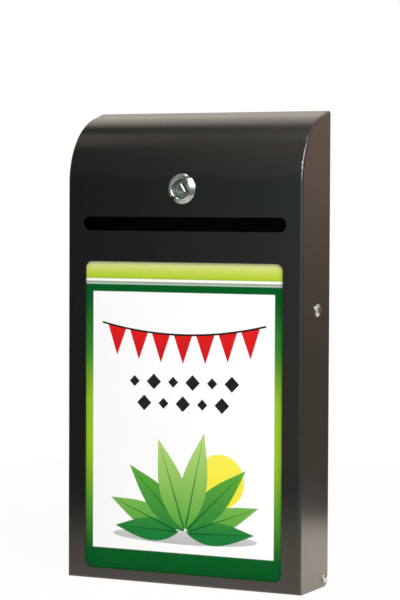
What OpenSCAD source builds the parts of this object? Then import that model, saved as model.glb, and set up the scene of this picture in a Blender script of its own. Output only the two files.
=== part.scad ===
// Wall-mounted suggestion box with a lockable front cover and a poster window.
// The wall is the plane y = 0, the front faces -Y, and +Z is up.
// The origin is the centre of the four wall holes, on the back plate's rear face.
// Heights in the values below are measured from the bottom of the case.

/* [Case] */
// Width of the case across its side panels
case_w = 240; // [220:1:300]
// Height of the case from its bottom to the top rear edge
case_h = 440; // [400:1:520]
// Depth of the case from the wall to its front
case_d = 65; // [60:1:80]
// Thickness of the sheet steel of the cover and the back tray
sheet_t = 1.2; // [1:0.1:1.5]
// Depth of the case behind the axis of its round top
top_strip = 0.25; // [0.25:0.25:4]
// Outer radius of the folded edges of the cover
edge_r = 2.5; // [2:0.1:4]
// Gap between the cover's rear edges and the wall
wall_gap = 0.5; // [0.3:0.1:1]

/* [Back tray] */
// Depth of the tray's side and top flanges, from the wall
tray_d = 11; // [8:0.5:11]
// Running gap between the tray's flanges and the cover's sides
tray_gap = 0.8; // [0.6:0.1:1.2]
// Height of the back plate's lower edge
tray_bottom = 2; // [1:0.1:3]
// Distance of the tray's top flange below the top of the case
tray_top_drop = 6; // [5:0.5:10]
// Outer radius of the tray's bends
tray_bend_r = 2; // [1.6:0.1:3]
// Radius of the wall holes
wall_hole_r = 3; // [2:0.25:4]
// Distance of the wall holes from the sides of the case
wall_hole_side = 40; // [30:1:60]
// Distance of the wall holes from the top and the bottom of the case
wall_hole_end = 80; // [60:1:120]

/* [Hinge] */
// Distance of the hinge pins from the wall
pin_back = 8.5; // [8.3:0.1:9]
// Height of the hinge pins, and radius of the cover's lower rear corners
pin_z = 8; // [7.5:0.1:8]
// Radius of the hinge pins
pin_r = 2.45; // [2:0.05:2.7]
// Radius of the hinge pins' outer heads
pin_head_r = 4.4; // [4.2:0.1:5]
// Height of the hinge pins' outer heads
pin_head_t = 1.8; // [1.2:0.1:2.5]
// Straight rim at the edge of the hinge pins' outer heads
pin_head_rim = 0.4; // [0.2:0.1:0.6]
// Radius of the hinge pins' riveted inner ends
pin_end_r = 3.6; // [3.2:0.1:4]
// Height of the hinge pins' riveted inner ends
pin_end_t = 0.8; // [0.5:0.1:0.9]
// Radial running gap between a pin and its bush
pin_play = 0.05; // [0.02:0.01:0.1]
// Wall of the nylon bushes
bush_wall = 1; // [0.8:0.1:1.2]
// Radius of the bushes' outer flanges
bush_flange_r = 4.2; // [4:0.1:4.5]
// Thickness of the bushes' outer flanges
bush_flange_t = 0.6; // [0.4:0.1:1]
// Side play of the hinge at each of its faces
hinge_side_play = 0.15; // [0.1:0.05:0.2]
// Radius of the hinge ears around the pins
ear_r = 6.3; // [5.5:0.1:6.3]
// Distance that the nylon washers stay inside the ears' edges
washer_inset = 0.3; // [0.2:0.1:0.8]
// Depth below the pins at which the tray's side flanges begin
flange_start = 2.5; // [1.5:0.1:2.6]
// Angle that the cover opens to before its bottom flange meets the back plate
open_angle = 55; // [40:1:58]
// Gap that is left at the fully open cover's stop
stop_gap = 0.2; // [0.1:0.05:0.4]

/* [Letter slot] */
// Distance of the slot's ends from the sides of the case
slot_side = 16; // [14:1:40]
// Height of the slot
slot_h = 13.4; // [8:0.1:16]
// Distance of the middle of the slot below the lock's axis
slot_below_lock = 32.5; // [32:0.5:40]

/* [Poster window] */
// Distance of the window's sides from the sides of the case
window_side = 19; // [19:0.5:30]
// Distance of the window's upper edge below the slot
window_slot_gap = 28.7; // [24:0.1:40]
// Height of the window's lower edge
window_z = 10.6; // [9.8:0.1:14]
// Corner radius of the window
window_r = 6.5; // [4:0.5:12]
// Width of the poster that the front hides at each side of the window
poster_hidden_x = 4; // [4:0.5:6]
// Height of the poster that the front hides above and below the window
poster_hidden_z = 4; // [3:0.1:4.2]
// Thickness of the clear window sheet
clear_t = 1; // [0.5:0.1:1.5]
// Thickness of the poster
paper_t = 0.3; // [0.2:0.1:0.5]
// Thickness of the backing board
backing_t = 1.5; // [1:0.1:2]
// Thickness of the sheet steel of the poster rails
rail_t = 1; // [0.8:0.1:1.2]
// Width of the rails' feet, which are welded to the front
rail_foot = 7; // [5:0.5:8]
// Width of the feet of the bottom rail
rail_foot_low = 3.6; // [3:0.1:4]
// Overlap of the rails' lips over the sheets
rail_lip = 3.5; // [2:0.5:5]
// Gap between the rails and the edges of the sheets
rail_play = 0.2; // [0.1:0.05:0.4]

/* [Ballot bin] */
// Thickness of the bin's sheet steel
bin_t = 0.8; // [0.7:0.1:1.2]
// Gap between the bin and each side of the cover, bridged by a clinch nut
bin_side_gap = 3.5; // [3.3:0.1:5]
// Gap between the bin and the poster rails
bin_front_gap = 0.3; // [0.2:0.1:1]
// Distance of the bin's rear wall from the wall
bin_back = 12; // [11.8:0.1:16]
// Distance of the bin's front lip below the slot
bin_slot_gap = 7; // [5:0.5:12]
// Rise of the bin's sides from its front wall to its rear wall
bin_rise = 30; // [10:1:33]
// Outer radius of the bin's upright corners
bin_r = 3; // [2:0.5:6]
// Gap between the bin's front lip and the cover's front
bin_lip_gap = 0.2; // [0.1:0.1:0.5]

/* [Side screws] */
// Distance of the side screws from the wall
screw_back = 29; // [20:1:35]
// Distance of the side screws below the top of the case
screw_drop = 183; // [170:0.5:260]
// Radius of the side screws' threads
screw_r = 3; // [2.5:0.1:3]
// Radius of the side screws' heads
screw_head_r = 6; // [5:0.1:7]
// Height of the side screws' heads
screw_head_t = 3.4; // [3:0.1:4.5]
// Straight rim at the edge of the side screws' heads
screw_rim_t = 0.9; // [0.5:0.1:1.2]
// Length of the arms of the cross recess, over both arms
recess_w = 6.4; // [5:0.1:7]
// Width of the arms of the cross recess
recess_t = 1.3; // [1:0.1:1.6]
// Depth of the cross recess
recess_depth = 2.2; // [1.5:0.1:2.5]
// Turn of the cross recess about the screw
recess_turn = 20; // [0:5:85]
// Gap around the screw in the cover's side
screw_hole_play = 0.3; // [0.1:0.1:0.6]
// Width over flats of the clinch nuts
clinch_af = 11; // [10:0.5:13]
// Length of screw that stands past the bin's side
screw_tip = 0.5; // [0.2:0.1:1]

/* [Quarter-turn lock] */
// Distance of the lock's axis below the start of the round top
lock_below_curve = 5.5; // [4:0.5:9]
// Radius of the lock's face
lock_face_r = 14; // [13.5:0.1:15]
// Distance that the domed face stands out from its gasket, around the well
lock_face_t = 4.4; // [4:0.1:6]
// Height of the straight rim at the edge of the face
lock_rim_t = 1.2; // [0.8:0.1:2]
// Thickness of the gasket under the face
gasket_t = 0.6; // [0.4:0.1:1]
// Distance that the gasket stays inside the edge of the face
gasket_inset = 0.6; // [0.3:0.1:1]
// Radius of the threaded barrel
barrel_r = 11; // [10.6:0.1:11.2]
// Distance over the barrel's two flats
barrel_flats = 20; // [19.5:0.1:20.5]
// Length of the barrel behind the cover's front face
barrel_l = 18; // [15:0.5:20]
// Gap around the barrel in its hole
barrel_play = 0.15; // [0.1:0.05:0.3]
// Radius of the well that the key goes into
well_r = 9; // [8.6:0.1:9.2]
// Width of the chamfer around the well
well_chamfer = 0.6; // [0.3:0.1:1]
// Depth of the well behind the face
well_depth = 8.2; // [7:0.1:9]
// Radius of the insert's shaft
shaft_r = 5.95; // [5.8:0.05:6]
// Radial running gap of the insert's shaft
shaft_play = 0.05; // [0.02:0.01:0.1]
// Thickness of the insert's collar, the floor of the well
collar_t = 2.2; // [1.5:0.1:3]
// Gap around the insert's collar
collar_play = 0.2; // [0.1:0.05:0.3]
// Gap between the insert's collar and the shoulder behind it
collar_gap = 0.1; // [0.05:0.05:0.2]
// Side of the triangular key boss
triangle_side = 9.4; // [8:0.1:11]
// Radius to which the corners of the triangle are cut back
triangle_corner_r = 5; // [4.4:0.1:5.4]
// Distance of the triangle's end below the face
triangle_drop = 1.2; // [0.5:0.1:2]
// Width of the chamfers around the triangle's end
triangle_chamfer = 0.8; // [0.3:0.1:1.2]
// Width over flats of the lock nut
lock_nut_af = 27; // [26:0.5:28]
// Thickness of the lock nut
lock_nut_t = 5; // [4:0.5:6]
// Thickness of the toothed washer under the lock nut
star_t = 0.8; // [0.6:0.1:1.2]
// Distance that the toothed washer stays inside the nut's flats
star_inset = 0.5; // [0.3:0.1:0.8]
// Number of teeth of the toothed washer
star_teeth = 16; // [10:1:24]
// Radius of the notches between the teeth
star_notch_r = 1; // [0.8:0.1:1.2]

/* [Cam and catch] */
// Thickness of the cam
cam_t = 2.5; // [2:0.1:3]
// Width of the cam's arm
cam_w = 16; // [14:0.5:17]
// Radius of the cam's hub
cam_hub_r = 9; // [8.8:0.1:10]
// Length of the cam from its axis to its tip
cam_l = 30; // [27:0.5:32]
// Side of the square that carries the cam
square_side = 8; // [7:0.1:8.2]
// Gap around the square in the cam
square_play = 0.05; // [0.02:0.01:0.1]
// Gap between the barrel's end and the cam
cam_gap = 0.4; // [0.3:0.1:0.6]
// Radius of the cam's washer
cam_washer_r = 7; // [6.5:0.1:8]
// Thickness of the cam's washer
cam_washer_t = 1.2; // [1:0.1:1.6]
// Radius of the thread of the cam's screw
cam_screw_r = 3; // [2.5:0.1:3]
// Length of thread of the cam's screw inside the insert
cam_screw_l = 12; // [8:1:14]
// Width over flats of the cam screw's head
cam_screw_af = 10; // [9:0.5:11]
// Height of the cam screw's head
cam_screw_head = 4; // [3:0.5:5]
// Thickness of the catch's sheet steel
catch_t = 2; // [1.5:0.1:2.5]
// Width of the catch
catch_w = 40; // [30:1:50]
// Distance of the catch's lip above the lock's axis
lip_rise = 16.5; // [16:0.5:18]
// Gap between the locked cam's tip and the catch's arm
arm_gap = 1.5; // [1:0.1:2]
// Gap between the catch's lip and the cam behind it
lip_gap = 1; // [0.5:0.1:1.5]
// Height of the catch's foot on the back plate
catch_foot = 22; // [16:1:24]
// Radius of the catch's rivets
rivet_r = 2; // [1.5:0.1:2.5]
// Radius of the rivets' heads
rivet_head_r = 3.6; // [3:0.1:4]
// Height of the rivets' heads
rivet_head_t = 1.4; // [1:0.1:2]
// Distance between the rivets
rivet_dx = 24; // [16:1:28]

/* [Buffers] */
// Radius of the rubber buffers
bumper_r = 6; // [4:0.5:8]
// Height of the buffers' domed ends
bumper_dome = 2; // [1:0.5:4]
// Distance of each buffer from the side of the case
bumper_side = 30; // [22:1:50]
// Distance of the buffers below the bin's upper rear edge
bumper_drop = 52; // [30:1:120]
// Gap between the buffers and the closed bin
bumper_gap = 0.3; // [0.2:0.1:0.5]

/* [Hidden] */
$fn = 64;

// Length by which a cutter passes the surface that it cuts
over = 1;

// Case: half width inside and outside, depth of the cover, the slope of the straight strip
// between its round top and its rear edge, with sides of 7, 24 and 25, and where the top begins
half_w = case_w / 2;
inner_half = half_w - sheet_t;
cover_d = case_d - wall_gap;
top_slope = asin(7 / 25);
top_r = cover_d - top_strip;
curve_z = case_h - top_r / cos(top_slope) - top_strip * tan(top_slope);
front_y = -case_d;
inner_front_y = front_y + sheet_t;

// Tray: outer half width, height of the top of its top flange, and pattern of the wall holes
tray_half = inner_half - tray_gap;
tray_top = case_h - tray_top_drop;
wall_hole_dx = case_w - 2 * wall_hole_side;
wall_hole_dz = case_h - 2 * wall_hole_end;
wall_hole_z = case_h / 2;

// Hinge: the axis, the bottom flange's rear end behind it, and the bush's bore
pin_y = -pin_back;
plate_reach = pin_back - sheet_t - stop_gap;
flange_reach = (plate_reach - pin_z * sin(open_angle)) / cos(open_angle);
bush_bore_r = pin_r + pin_play;
bush_r = bush_bore_r + bush_wall;
pin_head_x = half_w + bush_flange_t + hinge_side_play;
pin_inner_x = tray_half - sheet_t;
washer_t = tray_gap - hinge_side_play;

// Lock, slot and window, downwards from the start of the round top
lock_z = curve_z - lock_below_curve;
slot_z = lock_z - slot_below_lock;
slot_w = case_w - 2 * slot_side;
slot_low = slot_z - slot_h / 2;
window_w = case_w - 2 * window_side;
window_h = slot_low - window_slot_gap - window_z;

// Poster of A4 size, 210 by 297, and the sheets from the front's inner face towards the wall
poster_w = window_w + 2 * poster_hidden_x;
poster_h = window_h + 2 * poster_hidden_z;
poster_z = window_z - poster_hidden_z;
poster_y = inner_front_y + clear_t;
backing_y = poster_y + paper_t;
stack_t = clear_t + paper_t + backing_t;
rail_inner_y = inner_front_y + stack_t + rail_play + rail_t;
rail_edge = poster_w / 2 + rail_play;

// Bin: half width, front face, depth, and the heights of its floor, front wall and rear wall
bin_half = inner_half - bin_side_gap;
bin_front_y = rail_inner_y + bin_front_gap;
bin_depth = -bin_back - bin_front_y;
bin_floor_z = sheet_t;
bin_front_h = slot_low - bin_slot_gap;
bin_back_h = bin_front_h + bin_rise;

// Side screws and buffers
screw_y = -screw_back;
screw_z = case_h - screw_drop;
clinch_r = clinch_af / 2 / cos(30);
bumper_l = bin_back - sheet_t - bumper_gap;
bumper_x = half_w - bumper_side;
bumper_z = bin_back_h - bumper_drop;

// Lock: depths are measured from the front's outer face towards the wall
face_out = gasket_t + lock_face_t;
crown_start_r = well_r + well_chamfer;
crown_mid = (pow(crown_start_r, 2) + pow(lock_face_t, 2) - pow(lock_face_r, 2) - pow(lock_rim_t, 2))
    / (2 * (lock_face_t - lock_rim_t));
crown_r = sqrt(pow(crown_start_r, 2) + pow(lock_face_t - crown_mid, 2));
crown_top = crown_mid + crown_r;
triangle_in_r = triangle_side / (2 * sqrt(3));
well_floor = well_depth - face_out;
insert_seat = well_floor + collar_t;
boss_l = well_depth - triangle_drop + collar_t;
star_r = lock_nut_af / 2 - star_inset;
curve_rise = max(0, lock_z + star_r - curve_z);
star_start = sheet_t + (top_r - sheet_t) - sqrt(pow(top_r - sheet_t, 2) - pow(curve_rise, 2));
nut_start = star_start + star_t;
cam_start = barrel_l + cam_gap;
cam_end = cam_start + cam_t;
lock_end = cam_end + cam_washer_t;
collar_r = well_r - collar_play;
lock_nut_corner = lock_nut_af / 2 / cos(30);
cam_screw_corner = cam_screw_af / 2 / cos(30);

// Catch: the lip lies just in front of the locked cam, and the arm above its tip
lip_back_y = front_y + cam_start - lip_gap;
lip_front_y = lip_back_y - catch_t;
lip_z = lock_z + lip_rise;
arm_z = lock_z + cam_l + arm_gap;
rivet_z = arm_z + catch_foot / 2 + catch_t / 2;

// Colours
paint = [0.13, 0.13, 0.13];
inner_paint = [0.2, 0.2, 0.2];
chrome = [0.82, 0.83, 0.84];
zinc = [0.66, 0.67, 0.68];
nylon = [0.88, 0.87, 0.82];
rubber = [0.08, 0.08, 0.08];

// Moves pieces from heights over the case's bottom to heights over the wall holes' middle
module hung() {
    translate([0, 0, -wall_hole_z]) children();
}

// Plan of the case: open to the wall at v = 0, with rounded corners at v = d
module front_rounded(w, d, r) {
    translate([-w / 2, 0]) square([w, d - r]);
    translate([-w / 2 + r, 0]) square([w - 2 * r, d]);
    for (side = [-1, 1])
        translate([side * (w / 2 - r), d - r]) circle(r);
}

// Rectangle with four round corners, centred on x and standing on y = 0
module rounded_rect(w, h, r) {
    translate([-w / 2, r]) square([w, h - 2 * r]);
    translate([-w / 2 + r, 0]) square([w - 2 * r, h]);
    for (side = [-1, 1], z = [r, h - r])
        translate([side * (w / 2 - r), z]) circle(r);
}

// Slot outline with full round ends, centred
module round_ended(w, h) {
    square([w - h, h], center = true);
    for (side = [-1, 1])
        translate([side * (w - h) / 2, 0]) circle(h / 2);
}

// Plan of the cover's wall: a U of sheet of depth d with folded front corners
module cover_wall_plan(d) {
    difference() {
        front_rounded(case_w, d, edge_r);
        translate([0, -over]) front_rounded(2 * inner_half, d + over - sheet_t, edge_r - sheet_t);
    }
}

// Cylinder along X whose axis passes through y and z, from x0 to x1
module rod_x(r, x0, x1, y, z) {
    translate([min(x0, x1), y, z]) rotate([0, 90, 0]) cylinder(r = r, h = abs(x1 - x0));
}

// Cylinder along the lock's axis, from depth s0 to depth s1 behind the front face
module rod_lock(r, s0, s1) {
    translate([0, front_y + s0, lock_z]) rotate([-90, 0, 0]) cylinder(r = r, h = s1 - s0);
}

// Hexagon along the lock's axis, with corners at radius r
module hex_lock(r, s0, s1) {
    translate([0, front_y + s0, lock_z]) rotate([-90, 0, 0]) cylinder(r = r, h = s1 - s0, $fn = 6);
}

// Flat shape drawn in x and z, made into a plate from y0 towards the wall
module plate_y(y0, t) {
    translate([0, y0 + t, 0]) rotate([90, 0, 0]) linear_extrude(height = t) children();
}

// Barrel's round outline with its two flats, upright
module double_d(r, flats) {
    intersection() {
        circle(r);
        square([flats, 2 * r + over], center = true);
    }
}

// What is left of a square corner outside a rounding of radius r along X
module corner_cut_x(r, y_dir, z_dir) {
    difference() {
        translate([-half_w - over, min(0, y_dir * (r + over)), min(0, z_dir * (r + over))])
            cube([case_w + 2 * over, r + over, r + over]);
        rotate([0, 90, 0]) cylinder(r = r, h = case_w + 4 * over, center = true);
    }
}

module back_tray() color(inner_paint) hung() difference() {
    union() {
        intersection() {
            tray_shell();
            tray_side_outline();
        }
        for (side = [-1, 1])
            rod_x(ear_r, side * tray_half, side * pin_inner_x, pin_y, pin_z);
    }
    for (side = [-1, 1])
        rod_x(pin_r, side * (tray_half + over), side * (pin_inner_x - over), pin_y, pin_z);
    for (side = [-1, 1], dz = [-1, 1])
        translate([side * wall_hole_dx / 2, over, wall_hole_z + dz * wall_hole_dz / 2])
            rotate([90, 0, 0]) cylinder(r = wall_hole_r, h = sheet_t + 2 * over);
    for (side = [-1, 1])
        translate([side * rivet_dx / 2, over, rivet_z])
            rotate([90, 0, 0]) cylinder(r = rivet_r, h = sheet_t + 2 * over);
}

// Back plate with side flanges and a top flange, all bent from one sheet
module tray_shell() {
    difference() {
        translate([0, 0, tray_bottom]) mirror([0, 1, 0])
            linear_extrude(height = tray_top - tray_bottom)
                tray_plan(2 * tray_half, tray_d, tray_bend_r);
        translate([0, 0, tray_bottom - over]) mirror([0, 1, 0])
            linear_extrude(height = tray_top - tray_bottom - sheet_t + over)
                translate([0, sheet_t])
                    tray_plan(2 * pin_inner_x, tray_d + over, tray_bend_r - sheet_t);
    }
}

// Plan of the tray: rounded corners at the wall, open to the front
module tray_plan(w, d, r) {
    translate([-w / 2, r]) square([w, d - r]);
    translate([-w / 2 + r, 0]) square([w - 2 * r, d]);
    for (side = [-1, 1])
        translate([side * (w / 2 - r), r]) circle(r);
}

// Side view of the tray: the plate reaches its lower edge, the flanges start near the pins
module tray_side_outline() {
    translate([-half_w, -sheet_t, tray_bottom]) cube([case_w, sheet_t, tray_top - tray_bottom]);
    translate([-half_w, -tray_d, pin_z - flange_start])
        cube([case_w, tray_d, tray_top - pin_z + flange_start]);
}

module lock_catch() color(zinc) hung() difference() {
    union() {
        translate([-catch_w / 2, -sheet_t - catch_t, arm_z]) cube([catch_w, catch_t, catch_foot]);
        translate([-catch_w / 2, lip_front_y, arm_z])
            cube([catch_w, -sheet_t - lip_front_y, catch_t]);
        translate([-catch_w / 2, lip_front_y, lip_z]) cube([catch_w, catch_t, arm_z - lip_z + catch_t]);
    }
    for (side = [-1, 1])
        translate([side * rivet_dx / 2, over, rivet_z])
            rotate([90, 0, 0]) cylinder(r = rivet_r, h = catch_t + sheet_t + 2 * over);
}

module catch_rivets() color(zinc) hung() {
    for (side = [-1, 1])
        translate([side * rivet_dx / 2, 0, rivet_z]) rotate([90, 0, 0]) {
            cylinder(r = rivet_r, h = catch_t + sheet_t);
            translate([0, 0, catch_t + sheet_t]) dome(rivet_head_r, rivet_head_t, 0);
        }
}

// Low round head on the plane z = 0, with a straight rim
module dome(r, h, rim) {
    ball_r = (r * r + (h - rim) * (h - rim)) / (2 * (h - rim));
    intersection() {
        cylinder(r = r, h = h);
        translate([0, 0, h - ball_r]) sphere(ball_r, $fn = 96);
    }
}

module hinge_pin(side) color(chrome) hung()
    translate([0, pin_y, pin_z]) rotate([0, side * 90, 0]) {
        translate([0, 0, pin_head_x]) dome(pin_head_r, pin_head_t, pin_head_rim);
        translate([0, 0, pin_inner_x - pin_end_t]) {
            cylinder(r = pin_end_r, h = pin_end_t);
            cylinder(r = pin_r, h = pin_head_x + pin_head_rim - pin_inner_x + pin_end_t);
        }
    }
module hinge_pin_left() hinge_pin(-1);
module hinge_pin_right() hinge_pin(1);

module hinge_washer(side) color(nylon) hung()
    translate([0, pin_y, pin_z]) rotate([0, side * 90, 0]) translate([0, 0, tray_half])
        difference() {
            cylinder(r = ear_r - washer_inset, h = washer_t);
            translate([0, 0, -over]) cylinder(r = pin_r, h = washer_t + 2 * over);
        }
module hinge_washer_left() hinge_washer(-1);
module hinge_washer_right() hinge_washer(1);

module hinge_bush(side) color(nylon) hung()
    translate([0, pin_y, pin_z]) rotate([0, side * 90, 0]) translate([0, 0, inner_half])
        difference() {
            union() {
                cylinder(r = bush_r, h = sheet_t + bush_flange_t);
                translate([0, 0, sheet_t]) cylinder(r = bush_flange_r, h = bush_flange_t);
            }
            translate([0, 0, -over])
                cylinder(r = bush_bore_r, h = sheet_t + bush_flange_t + 2 * over);
        }
module hinge_bush_left() hinge_bush(-1);
module hinge_bush_right() hinge_bush(1);

module closing_bumper(side) color(rubber) hung()
    translate([side * bumper_x, -sheet_t, bumper_z]) rotate([90, 0, 0])
        dome(bumper_r, bumper_l, bumper_l - bumper_dome);
module closing_bumper_left() closing_bumper(-1);
module closing_bumper_right() closing_bumper(1);

// Drum along X with rounded rims, of which the cover's round top is a sector
module drum(w, r, rim_r) {
    rotate([0, 90, 0]) rotate_extrude($fn = 128) rotate(-90) front_rounded(w, r, rim_r);
}

// Cover's sheet before its openings are cut: front and sides, round top, strip behind it, bottom
module cover_shell() {
    strip_l = (top_strip + top_r * sin(top_slope)) / cos(top_slope);
    translate([0, -wall_gap, 0]) mirror([0, 1, 0])
        linear_extrude(height = curve_z) cover_wall_plan(cover_d);
    translate([0, front_y + top_r, curve_z]) intersection() {
        rotate([top_slope, 0, 0]) {
            intersection() {
                difference() {
                    drum(case_w, top_r, edge_r);
                    drum(2 * inner_half, top_r - sheet_t, edge_r - sheet_t);
                }
                translate([-case_w, -2 * top_r, -top_r / 2]) cube([2 * case_w, 2 * top_r, 2 * top_r]);
            }
            translate([0, strip_l + over, -top_r / 2]) rotate([90, 0, 0])
                linear_extrude(height = strip_l + over) cover_wall_plan(1.5 * top_r);
        }
        translate([-case_w, -case_h, 0]) cube([2 * case_w, case_h + top_strip, case_h]);
    }
    translate([-inner_half, inner_front_y, 0])
        cube([2 * inner_half, pin_y + flange_reach - inner_front_y, sheet_t]);
}

module front_cover() color(paint) hung() difference() {
    cover_shell();
    translate([0, front_y + edge_r, edge_r]) corner_cut_x(edge_r, -1, -1);
    translate([0, pin_y, pin_z]) corner_cut_x(pin_z, 1, -1);
    translate([0, 0, window_z]) plate_y(front_y - over, sheet_t + 2 * over)
        rounded_rect(window_w, window_h, window_r);
    translate([0, 0, slot_z]) plate_y(front_y - over, sheet_t + 2 * over)
        round_ended(slot_w, slot_h);
    translate([0, 0, lock_z]) plate_y(front_y - over, sheet_t + 2 * over)
        double_d(barrel_r + barrel_play, barrel_flats + 2 * barrel_play);
    for (side = [-1, 1]) {
        rod_x(screw_r + screw_hole_play, side * (inner_half - over), side * (half_w + over),
            screw_y, screw_z);
        rod_x(bush_r, side * (inner_half - over), side * (half_w + over), pin_y, pin_z);
    }
}

// One of the three sheets behind the window
module pocket_sheet(y, t) {
    translate([-poster_w / 2, y, poster_z]) cube([poster_w, t, poster_h]);
}
module clear_window() color([0.85, 0.9, 0.92, 0.35]) hung() pocket_sheet(inner_front_y, clear_t);
module poster_sheet() color([0.45, 0.68, 0.2]) hung() pocket_sheet(poster_y, paper_t);
module backing_sheet() color([0.7, 0.7, 0.68]) hung() pocket_sheet(backing_y, backing_t);

// Z-shaped rail section: a foot on the front, a web beside the sheets and a lip behind them
module rail_section(foot) {
    rail_depth = rail_inner_y - inner_front_y;
    square([foot, rail_t]);
    square([rail_t, rail_depth]);
    translate([-rail_play - rail_lip, rail_depth - rail_t])
        square([rail_lip + rail_play + rail_t, rail_t]);
}

module poster_rail_left() color(inner_paint) hung()
    mirror([1, 0, 0]) side_rail();
module poster_rail_right() color(inner_paint) hung() side_rail();
module side_rail() {
    translate([rail_edge, inner_front_y, poster_z])
        linear_extrude(height = poster_h) rail_section(rail_foot);
}
module poster_rail_bottom() color(inner_paint) hung()
    translate([-poster_w / 2 + rail_lip + rail_play, inner_front_y, poster_z - rail_play])
        rotate([90, 0, 90])
            linear_extrude(height = poster_w - 2 * (rail_lip + rail_play))
                rotate(-90) rail_section(rail_foot_low);

module ballot_bin() color(inner_paint) hung() difference() {
    union() {
        translate([0, bin_front_y, bin_floor_z]) bin_wall();
        translate([-bin_half, inner_front_y + bin_lip_gap, bin_front_h - bin_t])
            cube([2 * bin_half, bin_front_y + bin_t - inner_front_y - bin_lip_gap, bin_t]);
    }
    bin_top_cut();
    for (side = [-1, 1])
        rod_x(screw_r, side * (bin_half - bin_t - over), side * (bin_half + over), screw_y, screw_z);
}

// Bin as a box of sheet with upright round corners and an open top
module bin_wall() {
    difference() {
        linear_extrude(height = bin_back_h - bin_floor_z)
            rounded_rect(2 * bin_half, bin_depth, bin_r);
        translate([0, bin_t, bin_t]) linear_extrude(height = bin_back_h)
            rounded_rect(2 * (bin_half - bin_t), bin_depth - 2 * bin_t, bin_r - bin_t);
    }
}

// Wedge that slopes the bin's sides from the front wall up to the rear wall
module bin_top_cut() {
    slope_y0 = bin_front_y + bin_r;
    slope_y1 = -bin_back - bin_r;
    translate([-half_w, 0, 0]) rotate([90, 0, 90]) linear_extrude(height = case_w)
        polygon([[front_y, bin_front_h], [slope_y0, bin_front_h], [slope_y1, bin_back_h],
            [slope_y1, bin_back_h + over], [front_y, bin_back_h + over]]);
}

// Clinch nut that fills the gap between the bin and the cover's side
module bin_nut(side) color(zinc) hung()
    translate([0, screw_y, screw_z]) rotate([0, side * 90, 0])
        difference() {
            translate([0, 0, bin_half]) cylinder(r = clinch_r, h = bin_side_gap, $fn = 6);
            translate([0, 0, bin_half - over]) cylinder(r = screw_r, h = bin_side_gap + 2 * over);
        }
module bin_nut_left() bin_nut(-1);
module bin_nut_right() bin_nut(1);

// Pan head screw with a cross recess, through the cover's side into the clinch nut
module side_screw(side) color(chrome) hung()
    translate([0, screw_y, screw_z]) rotate([0, side * 90, 0]) difference() {
        union() {
            translate([0, 0, half_w]) dome(screw_head_r, screw_head_t, screw_rim_t);
            translate([0, 0, bin_half - bin_t - screw_tip])
                cylinder(r = screw_r, h = half_w - bin_half + bin_t + screw_tip);
        }
        for (turn = [recess_turn, recess_turn + 90])
            rotate([0, 0, turn])
                translate([-recess_w / 2, -recess_t / 2, half_w + screw_head_t - recess_depth])
                    cube([recess_w, recess_t, recess_depth + over]);
    }
module side_screw_left() side_screw(-1);
module side_screw_right() side_screw(1);

module lock_gasket() color(rubber) hung() difference() {
    rod_lock(lock_face_r - gasket_inset, -gasket_t, 0);
    rod_lock(barrel_r + barrel_play, -gasket_t - over, over);
}

// Domed face of the lock, still whole over the well
module lock_dome() {
    translate([0, front_y - gasket_t, lock_z]) rotate([90, 0, 0]) intersection() {
        cylinder(r = lock_face_r, h = crown_top + over);
        translate([0, 0, crown_mid]) sphere(crown_r, $fn = 96);
    }
}

// Cone that cuts the chamfer around the well
module well_mouth() {
    mouth_l = well_chamfer + crown_top - lock_face_t + over;
    translate([0, front_y - face_out + well_chamfer - mouth_l, lock_z]) rotate([-90, 0, 0])
        cylinder(r1 = well_r + mouth_l, r2 = well_r - over, h = mouth_l + over);
}

module lock_housing() color(chrome) hung() difference() {
    union() {
        lock_dome();
        translate([0, 0, lock_z]) plate_y(front_y - gasket_t - over, barrel_l + gasket_t + over)
            double_d(barrel_r, barrel_flats);
    }
    well_mouth();
    rod_lock(well_r, -face_out, insert_seat + collar_gap);
    rod_lock(shaft_r + shaft_play, insert_seat, barrel_l + over);
}

module lock_star_washer() color(zinc) hung() difference() {
    rod_lock(star_r, star_start, nut_start);
    rod_lock(barrel_r + barrel_play, 0, nut_start + over);
    for (i = [0 : star_teeth - 1])
        translate([0, front_y, lock_z]) rotate([0, i * 360 / star_teeth, 0])
            translate([star_r + star_inset, 0, 0]) rotate([-90, 0, 0])
                cylinder(r = star_notch_r, h = nut_start + over);
}

module lock_nut() color(zinc) hung() difference() {
    hex_lock(lock_nut_corner, nut_start, nut_start + lock_nut_t);
    rod_lock(barrel_r, nut_start - over, nut_start + lock_nut_t + over);
}

// Wedge that chamfers one side of the triangle's end; turn is the side's direction
module triangle_cut(turn) {
    translate([0, front_y - face_out + triangle_drop, lock_z]) rotate([0, -turn, 0])
        translate([triangle_in_r - triangle_chamfer, 0, -lock_face_r]) rotate([0, 0, 45])
            translate([-triangle_chamfer, -2 * triangle_chamfer, 0])
                cube([4 * triangle_chamfer, 2 * triangle_chamfer, 2 * lock_face_r]);
}

// Driver: triangular boss in the well, collar, shaft and the square that carries the cam
module lock_insert() color(chrome) hung() difference() {
    union() {
        translate([0, 0, lock_z]) plate_y(front_y - face_out + triangle_drop, boss_l)
            intersection() {
                rotate(90) circle(triangle_side / sqrt(3), $fn = 3);
                circle(triangle_corner_r);
            }
        rod_lock(collar_r, well_floor, insert_seat);
        rod_lock(shaft_r, well_floor, cam_start);
        translate([-square_side / 2, front_y + insert_seat, lock_z - square_side / 2])
            cube([square_side, cam_end - insert_seat, square_side]);
    }
    for (turn = [30, 150, 270])
        triangle_cut(turn);
    rod_lock(cam_screw_r, cam_end - cam_screw_l, cam_end + over);
}

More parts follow.
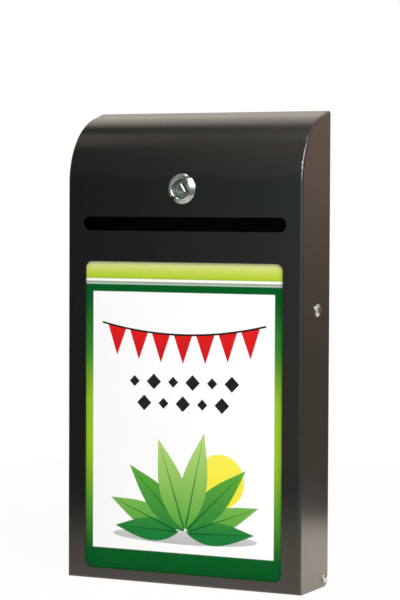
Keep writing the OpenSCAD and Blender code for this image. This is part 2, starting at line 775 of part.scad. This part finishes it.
// Cam at rest points to the left, clear of the catch
module lock_cam() color(zinc) hung() translate([0, 0, lock_z]) plate_y(front_y + cam_start, cam_t)
    difference() {
        union() {
            circle(cam_hub_r);
            translate([-cam_l + cam_w / 2, -cam_w / 2]) square([cam_l - cam_w / 2, cam_w]);
            translate([-cam_l + cam_w / 2, 0]) circle(cam_w / 2);
        }
        square(square_side + 2 * square_play, center = true);
    }

module cam_washer() color(zinc) hung() difference() {
    rod_lock(cam_washer_r, cam_end, lock_end);
    rod_lock(cam_screw_r, cam_end - over, lock_end + over);
}

module cam_screw() color(zinc) hung() {
    hex_lock(cam_screw_corner, lock_end, lock_end + cam_screw_head);
    rod_lock(cam_screw_r, cam_end - cam_screw_l, lock_end);
}

back_tray();
lock_catch();
catch_rivets();
hinge_pin_left();
hinge_pin_right();
hinge_washer_left();
hinge_washer_right();
closing_bumper_left();
closing_bumper_right();
front_cover();
hinge_bush_left();
hinge_bush_right();
clear_window();
poster_sheet();
backing_sheet();
poster_rail_left();
poster_rail_right();
poster_rail_bottom();
ballot_bin();
bin_nut_left();
bin_nut_right();
side_screw_left();
side_screw_right();
lock_gasket();
lock_housing();
lock_star_washer();
lock_nut();
lock_insert();
lock_cam();
cam_washer();
cam_screw();
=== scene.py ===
import math
from functools import cached_property

import bmesh
import bpy
from mathutils import Matrix, Vector

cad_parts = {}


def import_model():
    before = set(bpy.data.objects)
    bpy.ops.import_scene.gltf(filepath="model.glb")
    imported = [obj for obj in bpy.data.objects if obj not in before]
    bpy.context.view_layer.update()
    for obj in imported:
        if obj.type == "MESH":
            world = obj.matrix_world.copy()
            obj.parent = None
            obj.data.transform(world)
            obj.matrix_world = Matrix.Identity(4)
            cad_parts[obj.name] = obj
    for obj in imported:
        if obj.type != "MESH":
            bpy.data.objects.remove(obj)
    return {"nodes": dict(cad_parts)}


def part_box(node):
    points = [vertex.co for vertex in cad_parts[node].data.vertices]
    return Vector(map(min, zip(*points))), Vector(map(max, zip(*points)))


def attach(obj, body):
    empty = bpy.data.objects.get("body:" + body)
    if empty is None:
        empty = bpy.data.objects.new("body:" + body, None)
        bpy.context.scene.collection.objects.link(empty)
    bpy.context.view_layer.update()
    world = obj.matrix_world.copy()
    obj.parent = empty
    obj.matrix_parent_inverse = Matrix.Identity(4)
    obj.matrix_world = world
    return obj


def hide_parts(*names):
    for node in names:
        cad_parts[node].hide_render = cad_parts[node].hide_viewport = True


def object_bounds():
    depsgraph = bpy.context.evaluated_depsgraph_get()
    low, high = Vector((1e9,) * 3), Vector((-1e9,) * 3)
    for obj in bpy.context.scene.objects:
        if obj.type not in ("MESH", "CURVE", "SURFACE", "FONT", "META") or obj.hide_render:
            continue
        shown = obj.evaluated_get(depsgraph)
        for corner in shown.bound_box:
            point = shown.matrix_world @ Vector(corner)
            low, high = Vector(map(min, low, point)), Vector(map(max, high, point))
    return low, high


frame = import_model()
cad_box = [list(map(float, c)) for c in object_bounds()]
NODES = frame["nodes"]

COVER_LOW, COVER_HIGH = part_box("front_cover")
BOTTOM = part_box("poster_sheet")[0].z  # lower edge of the poster

# The camera's aim, turn and distance were fitted to the corners of case, window and slot
AIM = Vector((0, -0.035, -0.005))
AZIMUTH, ELEVATION, ROLL = (math.radians(v) for v in (25.718, 2.439, 0.248))
DISTANCE = 2.0677
SHIFT_RIGHT = 0.0037
SHIFT_UP = 0.049
SENSOR = 36
FOCAL_PIXELS = 2211
PICTURE_HEIGHT = 600


def make_camera():
    """Pinhole camera that sees the box from its right, a little from above."""
    flat = math.cos(ELEVATION)
    forward = Vector((-math.sin(AZIMUTH) * flat, math.cos(AZIMUTH) * flat, -math.sin(ELEVATION)))
    level = Vector((math.cos(AZIMUTH), math.sin(AZIMUTH), 0))
    top = level.cross(forward)
    right = math.cos(ROLL) * level + math.sin(ROLL) * top
    up = -math.sin(ROLL) * level + math.cos(ROLL) * top
    data = bpy.data.cameras.new("camera")
    data.sensor_width = SENSOR
    data.lens = SENSOR * FOCAL_PIXELS / PICTURE_HEIGHT
    data.clip_start = 0.05
    data.clip_end = 60
    camera = bpy.data.objects.new("camera", data)
    place = AIM + SHIFT_RIGHT * right + SHIFT_UP * up - DISTANCE * forward
    turn = Matrix((right, up, -forward)).transposed().to_4x4()
    camera.matrix_world = Matrix.Translation(place) @ turn
    bpy.context.scene.collection.objects.link(camera)
    bpy.context.scene.camera = camera


class Graph:
    """A node tree that is built by short calls, of a new material unless a tree is given."""

    def __init__(self, name="", tree=None):
        if tree is None:
            self.material = bpy.data.materials.new(name)
            self.material.use_nodes = True
            tree = self.material.node_tree
        self.tree = tree
        tree.nodes.clear()

    def node(self, kind, inputs=(), **settings):
        """Add a node with its settings, and feed its inputs by sockets or plain values."""
        made = self.tree.nodes.new(kind)
        for key, value in settings.items():
            setattr(made, key, value)
        for key, value in dict(inputs).items():
            self.feed(made, key, value)
        return made

    def feed(self, node, key, value):
        if isinstance(value, bpy.types.NodeSocket):
            self.tree.links.new(value, node.inputs[key])
        else:
            node.inputs[key].default_value = value

    @cached_property
    def point(self):
        return self.node("ShaderNodeTexCoord").outputs["Object"]

    @cached_property
    def axes(self):
        return self.node("ShaderNodeSeparateXYZ", {"Vector": self.point}).outputs

    @cached_property
    def rays(self):
        return self.node("ShaderNodeLightPath").outputs

    @cached_property
    def seen(self):
        """One where the camera looks, directly or through something clear."""
        return self.calc("MAXIMUM", self.rays["Is Camera Ray"], self.rays["Is Transmission Ray"])

    def noise(self, scale, detail=2.0, roughness=0.5, stretch=(1, 1, 1), offset=(0, 0, 0)):
        where = self.node(
            "ShaderNodeMapping", {"Vector": self.point, "Scale": stretch, "Location": offset}
        ).outputs[0]
        return self.node(
            "ShaderNodeTexNoise",
            {"Vector": where, "Scale": scale, "Detail": detail, "Roughness": roughness},
        ).outputs["Fac"]

    def calc(self, operation, *values):
        inputs = dict(enumerate(values))
        return self.node("ShaderNodeMath", inputs, operation=operation).outputs[0]

    def times(self, product, *others):
        for other in others:
            product = self.calc("MULTIPLY", product, other)
        return product

    def remap(self, value, low, high, start=0.0, end=1.0, kind="LINEAR"):
        """Carry the range from low to high over to start and end, and hold both ends."""
        inputs = {
            "Value": value,
            "From Min": low,
            "From Max": high,
            "To Min": start,
            "To Max": end,
        }
        return self.node("ShaderNodeMapRange", inputs, interpolation_type=kind).outputs["Result"]

    def soft(self, value, low, high):
        """Rise smoothly from zero at low to one at high."""
        return self.remap(value, low, high, kind="SMOOTHSTEP")

    def mix(self, share, first, second):
        first, second = (
            c if isinstance(c, bpy.types.NodeSocket) else (*c, 1) for c in (first, second)
        )
        inputs = {"Factor": share, 6: first, 7: second}
        return self.node("ShaderNodeMix", inputs, data_type="RGBA").outputs[2]

    def ramp(self, value, stops):
        made = self.node("ShaderNodeValToRGB", {"Fac": value})
        elements = made.color_ramp.elements
        while len(elements) < len(stops):
            elements.new(0.5)
        for element, (position, colour) in zip(elements, stops):
            element.position = position
            element.color = (*colour, 1)
        return made.outputs["Color"]

    def rounded(self, radius, samples=4):
        """Normal of edges that look rounded."""
        return self.node("ShaderNodeBevel", {"Radius": radius}, samples=samples).outputs[0]

    def bump(self, height, strength, distance, under=None):
        inputs = {"Height": height, "Strength": strength, "Distance": distance}
        if under is not None:
            inputs["Normal"] = under
        return self.node("ShaderNodeBump", inputs).outputs["Normal"]

    def principled(self, **sockets):
        """End the tree in a Principled shader and return its material."""
        shader = self.node("ShaderNodeBsdfPrincipled")
        for key, value in sockets.items():
            self.feed(shader, key.replace("_", " "), value)
        self.node("ShaderNodeOutputMaterial", {"Surface": shader.outputs[0]})
        return self.material


def srgb(number):
    """Linear colour of an sRGB hex number."""
    parts = [((number >> shift) & 255) / 255 for shift in (16, 8, 0)]
    return tuple(p / 12.92 if p <= 0.04045 else ((p + 0.055) / 1.055) ** 2.4 for p in parts)


def powder_coat():
    """Black semi-gloss powder coat: faint orange peel and clouding, with pale glints of light painted
    on the front corners low down.
    """
    g = Graph("black_powder_coat_finish")
    x, y, z = g.axes
    base = g.mix(g.noise(14, 3), srgb(0x090A0A), srgb(0x0D0F0F))
    # painted highlight: pale glint specks on the folded corners between the front and the sides,
    # 15 to 40 mm above the bottom
    side, front, foot = COVER_HIGH.x, COVER_LOW.y, COVER_LOW.z
    corner = g.times(
        g.soft(g.calc("ABSOLUTE", x), side - 0.0012, side - 0.0004),
        g.soft(y, front + 0.0012, front + 0.0004),
    )
    low = g.times(g.remap(z, foot + 0.04, foot + 0.032), g.remap(z, foot + 0.015, foot + 0.021))
    glint_speck = g.soft(g.noise(260, 2, offset=(3, 1, 7)), 0.6, 0.68)
    # a pale colour painted into the black coat as glints of light on the crease
    base = g.mix(g.times(corner, glint_speck, low), base, srgb(0xB9B2AA))
    peel = g.times(g.noise(520, 2, 0.45), 0.8)
    height = g.calc("ADD", peel, g.times(g.noise(2400, 1), 0.2))
    normal = g.bump(height, 0.02, 0.0005, g.rounded(0.0004, samples=6))
    return g.principled(
        Base_Color=base,
        Roughness=g.calc("ADD", 0.2, g.times(g.noise(45, 4, 0.6), 0.12)),
        Normal=normal,
        Coat_Weight=0.9,
        Coat_Roughness=0.13,
        Coat_Normal=normal,
    )


def inner_paint():
    """Thin matt black paint over the inner sheet pieces, with rub marks."""
    g = Graph("black_inner_paint_finish")
    streak = g.noise(60, 4, 0.6, stretch=(1, 1, 0.08))
    return g.principled(
        Base_Color=g.mix(streak, srgb(0x0D0D0E), srgb(0x151515)),
        Roughness=g.calc("ADD", 0.45, g.times(g.noise(30, 3), 0.25)),
        Normal=g.bump(g.noise(900, 2), 0.12, 0.0004, g.rounded(0.0003)),
        Specular_IOR_Level=0.25,
    )


def metal(name, light, dark, rough, scale, relief):
    """Bright metal with a fine grain; rough holds its lowest and highest roughness."""
    g = Graph(name)
    grain = g.noise(scale, 3, 0.6)
    return g.principled(
        Base_Color=g.mix(g.noise(scale * 0.2, 4, 0.6), srgb(light), srgb(dark)),
        Metallic=1.0,
        Roughness=g.remap(grain, 0.3, 0.7, *rough),
        Normal=g.bump(grain, relief, 0.0002, g.rounded(0.00025)),
    )


def plastic(name, dark, light, rough, scale, relief):
    """Matt plastic or rubber with a fine grain."""
    g = Graph(name)
    return g.principled(
        Base_Color=g.mix(g.noise(40, 3), srgb(dark), srgb(light)),
        Roughness=g.calc("ADD", rough, g.times(g.noise(120, 2), 0.12)),
        Normal=g.bump(g.noise(scale, 2), relief, 0.0003),
    )


def clear_sheet():
    """Clear plastic sheet with a faint haze."""
    g = Graph("clear_sheet_finish")
    haze = g.noise(9, 3)
    return g.principled(
        Base_Color=g.mix(haze, srgb(0x2A302E), srgb(0x3A403E)),
        Roughness=g.calc("ADD", 0.03, g.times(haze, 0.05)),
        Alpha=0.02,
    )


def greyboard():
    """Stiff grey board with visible fibres."""
    g = Graph("backing_board_finish")
    fibre = g.noise(700, 5, 0.7, stretch=(1, 1, 0.35))
    return g.principled(
        Base_Color=g.mix(fibre, srgb(0x8C857A), srgb(0xA9A396)),
        Roughness=0.9,
        Normal=g.bump(fibre, 0.25, 0.0003),
    )


# Edges of the printed areas, in millimetres from the middle and the lower edge of the poster
FIELD_LEFT, FIELD_RIGHT = -94.0, 92.6
FIELD_LOW, FIELD_HIGH = 23.2, 265.0
PALE_LINE, GREY_LINE, STRIP = 271.7, 273.1, 274.7
HEADER_LOW, HEADER_HIGH = 277.1, 292.6
EDGE_BLUR = 0.3
FRAME_COLOURS = [
    (0.0, 0x005820),
    (0.19, 0x56982B),
    (0.39, 0x92BE28),
    (0.58, 0x8FBD2C),
    (0.77, 0x35862A),
    (0.97, 0x00591F),
]
HEADER_COLOURS = [
    (0.0, 0x9CBA3E),
    (0.15, 0xB2CE2E),
    (0.5, 0xC7D65C),
    (0.75, 0xD6E182),
    (1.0, 0xE2EAAE),
]


def poster_paper():
    """Printed sheet: lime header, pale strip, green frame around a white field."""
    g = Graph("poster_paper_finish")
    x, _, z = g.axes
    across = g.times(x, 1000)
    up = g.times(g.calc("SUBTRACT", z, BOTTOM), 1000)

    def stops(colours):
        return [(position, srgb(number)) for position, number in colours]

    def past(value, edge):
        return g.remap(value, edge - EDGE_BLUR, edge + EDGE_BLUR)

    def before(value, edge):
        return g.calc("SUBTRACT", 1.0, past(value, edge))

    colour = g.ramp(g.remap(up, 20, 266), stops(FRAME_COLOURS))
    header = g.ramp(g.remap(up, HEADER_LOW + 0.2, HEADER_HIGH), stops(HEADER_COLOURS))
    colour = g.mix(past(up, PALE_LINE), colour, srgb(0xACC3B6))
    colour = g.mix(past(up, GREY_LINE), colour, srgb(0x9AA398))
    colour = g.mix(past(up, STRIP), colour, srgb(0xFAFFF0))
    colour = g.mix(past(up, HEADER_LOW), colour, header)
    inside = g.times(past(across, FIELD_LEFT), before(across, FIELD_RIGHT))
    field = g.times(inside, past(up, FIELD_LOW), before(up, FIELD_HIGH))
    colour = g.mix(field, colour, (0.97, 0.97, 0.965))
    grain = g.noise(1500, 3)
    return g.principled(
        Base_Color=g.mix(g.times(grain, 0.002), colour, (0.85, 0.85, 0.83)),
        Roughness=g.calc("ADD", 0.6, g.times(grain, 0.1)),
        Specular_IOR_Level=0.02,
    )


def ink(name, low, high, start, end):
    """Printed colour that runs from low at height start to high at end, with a fine screen.
    The heights are metres above the poster's lower edge."""
    g = Graph(name)
    blend = g.remap(g.axes[2], BOTTOM + start, BOTTOM + end)
    colour = g.mix(blend, srgb(low), srgb(high))
    grain = g.noise(1200, 3)
    return g.principled(
        Base_Color=g.mix(g.times(grain, 0.008), colour, (0.9, 0.9, 0.88)),
        Roughness=g.calc("ADD", 0.5, g.times(grain, 0.1)),
        Specular_IOR_Level=0.05,
    )


SLOT = {
    "black_powder_coat": powder_coat(),
    "black_inner_paint": inner_paint(),
    "lock_chrome": metal("lock_chrome_finish", 0xCCD3DB, 0x949BA2, (0.12, 0.22), 900, 0.05),
    "bright_screw": metal("bright_screw_finish", 0xE2DFDA, 0xC4C0BA, (0.16, 0.3), 700, 0.08),
    "zinc_plate": metal("zinc_plate_finish", 0xC3C7CB, 0xA9A99C, (0.24, 0.42), 400, 0.15),
    "nylon": plastic("nylon_finish", 0xDCDACF, 0xE9E8E0, 0.42, 500, 0.06),
    "black_rubber": plastic("black_rubber_finish", 0x141414, 0x1F1F1F, 0.68, 900, 0.2),
    "clear_sheet": clear_sheet(),
    "poster_paper": poster_paper(),
    "backing_board": greyboard(),
}
DRIVER = metal("lock_driver_finish", 0xC9D6CF, 0x85968F, (0.26, 0.42), 500, 0.12)


def dress_nodes():
    """Give each CAD node the finish of its slot; the lock's driver has one of its own."""
    for name, node in NODES.items():
        for material_slot in node.material_slots:
            finish = SLOT[material_slot.material.name.split(".")[0]]
            material_slot.material = DRIVER if name == "lock_insert" else finish


def piece(name, bm, materials, body, stands_for=()):
    """Turn a bmesh into a named piece of the visual model that rides on a body."""
    mesh = bpy.data.meshes.new(name)
    bm.normal_update()
    bm.to_mesh(mesh)
    bm.free()
    made = bpy.data.objects.new(name, mesh)
    bpy.context.scene.collection.objects.link(made)
    for material in materials:
        mesh.materials.append(material)
    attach(made, body)
    if stands_for:
        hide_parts(*stands_for)


def make_pane():
    """The clear sheet with a fine bevel, a hair off the paper."""
    low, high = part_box("clear_window")
    gap = 0.0001
    size = high - low
    size.y -= gap
    middle = (low + high) / 2 - Vector((0, gap / 2, 0))
    bm = bmesh.new()
    bmesh.ops.create_cube(bm, size=1)
    bmesh.ops.scale(bm, vec=size, verts=bm.verts)
    bmesh.ops.translate(bm, vec=middle, verts=bm.verts)
    bmesh.ops.bevel(
        bm, geom=bm.edges[:], offset=0.00015, segments=2, affect="EDGES", profile=0.5
    )
    piece("window_pane", bm, [SLOT["clear_sheet"]], "cover", ["clear_window"])


# The print is drawn in millimetres, u to the right of the middle and v above the lower edge.
# A lift is the distance in metres that a shape lies before the lowest one, so none coincide.
RED, BLACK, SHADOW, YELLOW, LEAF_LIGHT, LEAF_DARK, LEAF_RIB = range(7)
FILM = 0.00003  # from the paper to the lowest shape
SUN_LIFT = 0.00001
LEAF_LIFT = 0.00002
LEAF_STEP = 0.000004
RIB_LIFT = 0.00001
# u and v of the base, length, width, angle in degrees and ink
LEAVES = [
    (-6, 44, 74, 13, 158, LEAF_LIGHT),
    (-4, 43, 66, 12, 178, LEAF_DARK),
    (2, 44, 82, 14, 134, LEAF_DARK),
    (4, 43, 78, 13, 20, LEAF_LIGHT),
    (5, 42, 68, 12, 2, LEAF_DARK),
    (4, 45, 84, 14, 44, LEAF_DARK),
    (2, 45, 88, 15, 108, LEAF_LIGHT),
    (3, 46, 92, 15, 78, LEAF_LIGHT),
]


class Print:
    """Generic print on the poster, made of flat shapes that face the viewer."""

    def __init__(self):
        self.bm = bmesh.new()
        self.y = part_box("poster_sheet")[0].y - FILM

    def shape(self, points, colour, lift=0.0):
        y = self.y - lift
        corners = [self.bm.verts.new((u / 1000, y, BOTTOM + v / 1000)) for u, v in points]
        face = self.bm.faces.new(corners)
        face.normal_update()
        if face.normal.y > 0:
            face.normal_flip()
        face.material_index = colour

    def cord(self, u, height=236, sag=10, reach=84):
        return height - sag * (1 - (u / reach) ** 2)

    def garland(self, count=7, span=160, margin=2.0, drop=27, reach=84, thick=1.8, steps=40):
        """Red pennants on a sagging cord, which reaches a little past them on both sides."""
        places = [-reach + 2 * reach * i / steps for i in range(steps + 1)]
        upper = [(u, self.cord(u) + thick / 2) for u in places]
        lower = [(u, v - thick) for u, v in reversed(upper)]
        self.shape(upper + lower, BLACK)
        for i in range(count):
            left = -span / 2 + span * i / count + margin
            right = left + span / count - 2 * margin
            tip = (left + right) / 2
            hung = [(u, self.cord(u) - 0.4) for u in (left, right)]
            self.shape([*hung, (tip, self.cord(tip) - drop)], RED)

    def diamonds(self, count, u, v, sizes, pitch=20):
        """A row of diamonds whose two half widths take turns."""
        for i in range(count):
            middle, half = u + pitch * i, sizes[i % 2]
            corners = [(middle - half, v), (middle, v - half), (middle + half, v), (middle, v + half)]
            self.shape(corners, BLACK)

    def disc(self, u, v, wide, tall, colour, lift=0.0, steps=64):
        turns = [2 * math.pi * k / steps for k in range(steps)]
        ring = [(u + wide * math.cos(a), v + tall * math.sin(a)) for a in turns]
        self.shape(ring, colour, lift)

    def leaf(self, u, v, length, width, angle, colour, lift, steps=20):
        """A pointed leaf and its rib, which lies a little in front of it."""
        cos, sin = math.cos(math.radians(angle)), math.sin(math.radians(angle))

        def turned(points):
            return [(u + a * cos - b * sin, v + a * sin + b * cos) for a, b in points]

        half = []
        for t in (k / steps for k in range(steps + 1)):
            half.append((t * length, width * math.sin(math.pi * t**0.85) * (1 - 0.25 * t)))
        other_half = [(a, -b) for a, b in reversed(half[1:-1])]
        self.shape(turned(half + other_half), colour, lift)
        rib = [(2, 0.7), (length * 0.9, 0.15), (length * 0.9, -0.15), (2, -0.7)]
        self.shape(turned(rib), LEAF_RIB, lift + RIB_LIFT)


def make_print():
    """Garland, two rows of diamonds, and a fan of leaves before a sun, on a soft shadow."""
    drawing = Print()
    drawing.garland()
    drawing.diamonds(6, -50, 182, (5.2, 7.4))
    drawing.diamonds(5, -40, 162, (7.4, 5.2))
    drawing.disc(2, 38, 74, 6.5, SHADOW)
    drawing.disc(38, 92, 25, 25, YELLOW, SUN_LIFT)
    for k, leaf in enumerate(LEAVES):
        drawing.leaf(*leaf, LEAF_LIFT + LEAF_STEP * k)
    inks = [
        ink("print_red", 0xC90E12, 0xE3191B, 0.2, 0.24),
        ink("print_black", 0x141414, 0x202020, 0, 0.3),
        ink("print_shadow", 0xB4B6B4, 0xCFD0CF, 0.03, 0.045),
        ink("print_yellow", 0xF2E21A, 0xF7EE5A, 0.06, 0.12),
        ink("print_leaf_light", 0x3E9E2C, 0xB9DC7A, 0.04, 0.14),
        ink("print_leaf_dark", 0x0F7A34, 0x6DBB3A, 0.04, 0.13),
        ink("print_leaf_rib", 0x0B4F22, 0x1D6E2C, 0.04, 0.14),
    ]
    piece("poster_print", drawing.bm, inks, "cover")


def area_lamp(name, place, aim, size, power, colour):
    """Rectangular lamp at place that shines at aim; size holds its width and height."""
    data = bpy.data.lights.new(name, "AREA")
    data.energy = power
    data.color = colour
    data.shape = "RECTANGLE"
    data.size, data.size_y = size
    lamp = bpy.data.objects.new(name, data)
    lamp.location = place
    lamp.rotation_euler = (Vector(aim) - Vector(place)).to_track_quat("-Z", "Y").to_euler()
    lamp.visible_camera = False
    bpy.context.scene.collection.objects.link(lamp)


FLOOR_GAP = 0.0005  # between the box and the floor
FLOOR_RADIUS = 0.95
FLOOR_GLOW = 0.95  # the rest of it is lit, and so shows the box's shadow


def floor_finish():
    """White floor that keeps a soft shadow. Glossy pieces see it fade with the distance."""
    g = Graph("floor_finish")
    x, y, _ = g.axes
    # distance from a spot at the box's right, counted faster behind the box
    side = g.calc("SUBTRACT", x, 0.12)
    deep = g.calc("SUBTRACT", y, 0.05)
    deep = g.calc("MAXIMUM", deep, g.times(deep, 1.8))
    away = g.calc("SQRT", g.calc("ADD", g.times(side, side), g.times(deep, deep)))
    fade = g.times(g.soft(away, 0.84, 0.42), g.remap(x, -0.3, 0, 0.65, 1))
    level = g.times(fade, g.remap(y, -0.15, 0.1, 0.98, 1.25))
    level = g.calc("MAXIMUM", level, g.remap(x, -0.35, -0.1, 0.03, 0.16))
    warm = {"Color": (1.0, 0.9, 0.78, 1), "Strength": level}
    mirrored = g.node("ShaderNodeEmission", warm).outputs[0]
    lit = g.node("ShaderNodeBsdfDiffuse", {"Color": (0.9, 0.9, 0.9, 1)}).outputs[0]
    glow = g.node("ShaderNodeEmission", {"Strength": 1.0}).outputs[0]

    def blend(share, first, second):
        return g.node("ShaderNodeMixShader", {0: share, 1: first, 2: second}).outputs[0]

    surface = blend(g.seen, lit, blend(FLOOR_GLOW, lit, glow))
    surface = blend(g.rays["Is Glossy Ray"], surface, mirrored)
    g.node("ShaderNodeOutputMaterial", {"Surface": surface})
    return g.material


def make_floor():
    bm = bmesh.new()
    bmesh.ops.create_circle(bm, cap_ends=True, radius=FLOOR_RADIUS, segments=96)
    mesh = bpy.data.meshes.new("floor")
    bm.to_mesh(mesh)
    bm.free()
    floor = bpy.data.objects.new("floor", mesh)
    floor.location = (0, 0, cad_box[0][2] - FLOOR_GAP)
    bpy.context.scene.collection.objects.link(floor)
    mesh.materials.append(floor_finish())


# The studio that glossy pieces see. Its places are directions: x, y and z are the parts of a
# unit vector, to the right, away from the viewer and up.
WARM_LOW, COOL_MIDDLE, WARM_HIGH = (1.25, 1.0, 0.72), (0.82, 1.04, 1.08), (1.15, 1.0, 0.85)
BACKDROP = (0.82, 0.76, 0.65)
WALL_FOOT, WALL_GLOW = (0.18, 0.155, 0.12), (0.62, 0.42, 0.32)
EVEN_LIGHT = (0.38, 0.38, 0.38)
WHITE = (1, 1, 1)


def room_light(g, x, y, z):
    """Brightness of the dim room before the box, paler to the right and upwards."""
    near = g.remap(x, -0.487, -0.39)
    high = g.soft(z, 0.03, 0.35)
    gain = g.remap(high, 0, 1, 0.29, 0.42)
    light = g.calc("MULTIPLY_ADD", near, gain, g.remap(high, 0, 1, 0.018, 0.03))
    light = g.calc("ADD", light, g.remap(x, -0.41, -0.385, 0, 0.12))
    light = g.times(light, g.remap(y, -0.5, -0.15, 1, 0.65), g.remap(x, -0.34, -0.26, 1, 0.35))
    # a paler band above the box, which begins further forward at the left
    start = g.remap(near, 0.1, 0.5, -0.47, -0.28)
    band = g.times(g.soft(g.calc("SUBTRACT", y, start), 0, 0.25), g.soft(y, 0.17, 0.0))
    light = g.calc("MULTIPLY_ADD", band, g.remap(near, 0.1, 0.6, 0.46, 0.03), light)
    # dimmer behind the box, apart from the left
    behind = g.times(g.remap(y, -0.1, 0.1), g.remap(x, -0.34, -0.2))
    return g.times(light, g.remap(behind, 0, 1, 1.0, 0.25))


def panel_light(g, x, y, z):
    """Brightness of a low soft panel at the front and right."""
    place = g.times(g.soft(x, -0.26, -0.1), g.soft(y, 0.3, 0.05), g.soft(z, 0.2, 0.1))
    return g.times(place, g.remap(y, -0.45, -0.2, 1, 1.9), g.remap(z, -0.1, 0.03, 0.3, 0.85))


def ceiling_light(g, x, y, z):
    """Brightness of the ceiling above the box and to its right."""
    return g.times(g.soft(x, -0.3, 0.0), g.soft(y, -0.35, -0.1), g.soft(z, 0.2, 0.5), 0.75)


def studio_colour(g, x, y, z):
    """Colour of the whole studio in one direction."""
    light = g.calc("MAXIMUM", room_light(g, x, y, z), panel_light(g, x, y, z))
    light = g.calc("MAXIMUM", light, ceiling_light(g, x, y, z))
    tint = g.mix(g.remap(z, -0.09, -0.03), WARM_LOW, COOL_MIDDLE)
    tint = g.mix(g.remap(z, 0.05, 0.5), tint, WARM_HIGH)
    studio = g.node("ShaderNodeVectorMath", {0: tint, 3: light}, operation="SCALE").outputs[0]
    # the pale backdrop behind, to the left
    back = g.times(g.soft(y, 0.27, 0.53), g.soft(x, -0.22, -0.34))
    studio = g.mix(back, studio, BACKDROP)
    # the warm wall at the back right, which the side panel mirrors
    glow = g.calc("POWER", g.remap(z, -0.07, 0.04), 1.6)
    wall = g.mix(glow, WALL_FOOT, WALL_GLOW)
    right = g.times(g.soft(x, 0.2, 0.34), g.soft(y, 0.6, 0.8))
    return g.mix(right, studio, wall)


def make_world():
    """White to the camera, the studio to glossy pieces, and an even grey light to the rest."""
    world = bpy.data.worlds.new("studio")
    world.use_nodes = True
    bpy.context.scene.world = world
    g = Graph(tree=world.node_tree)
    way = g.node("ShaderNodeTexCoord").outputs["Generated"]
    x, y, z = g.node("ShaderNodeSeparateXYZ", {"Vector": way}).outputs
    colour = g.mix(g.rays["Is Glossy Ray"], EVEN_LIGHT, studio_colour(g, x, y, z))
    colour = g.mix(g.seen, colour, WHITE)
    background = g.node("ShaderNodeBackground", {"Color": colour, "Strength": 1.0})
    g.node("ShaderNodeOutputWorld", {"Surface": background.outputs[0]})


dress_nodes()
make_camera()
make_pane()
make_print()
make_floor()
make_world()
area_lamp("key", (1.15, -1.05, 1.15), (0, -0.03, 0.12), (1.25, 1.5), 42, (1.0, 0.97, 0.97))
area_lamp("overhead", (-0.16, -0.35, 1.7), (0, -0.05, 0.15), (0.5, 0.25), 1.6, (0.93, 0.97, 1.0))

bpy.context.scene.view_settings.view_transform = "Standard"
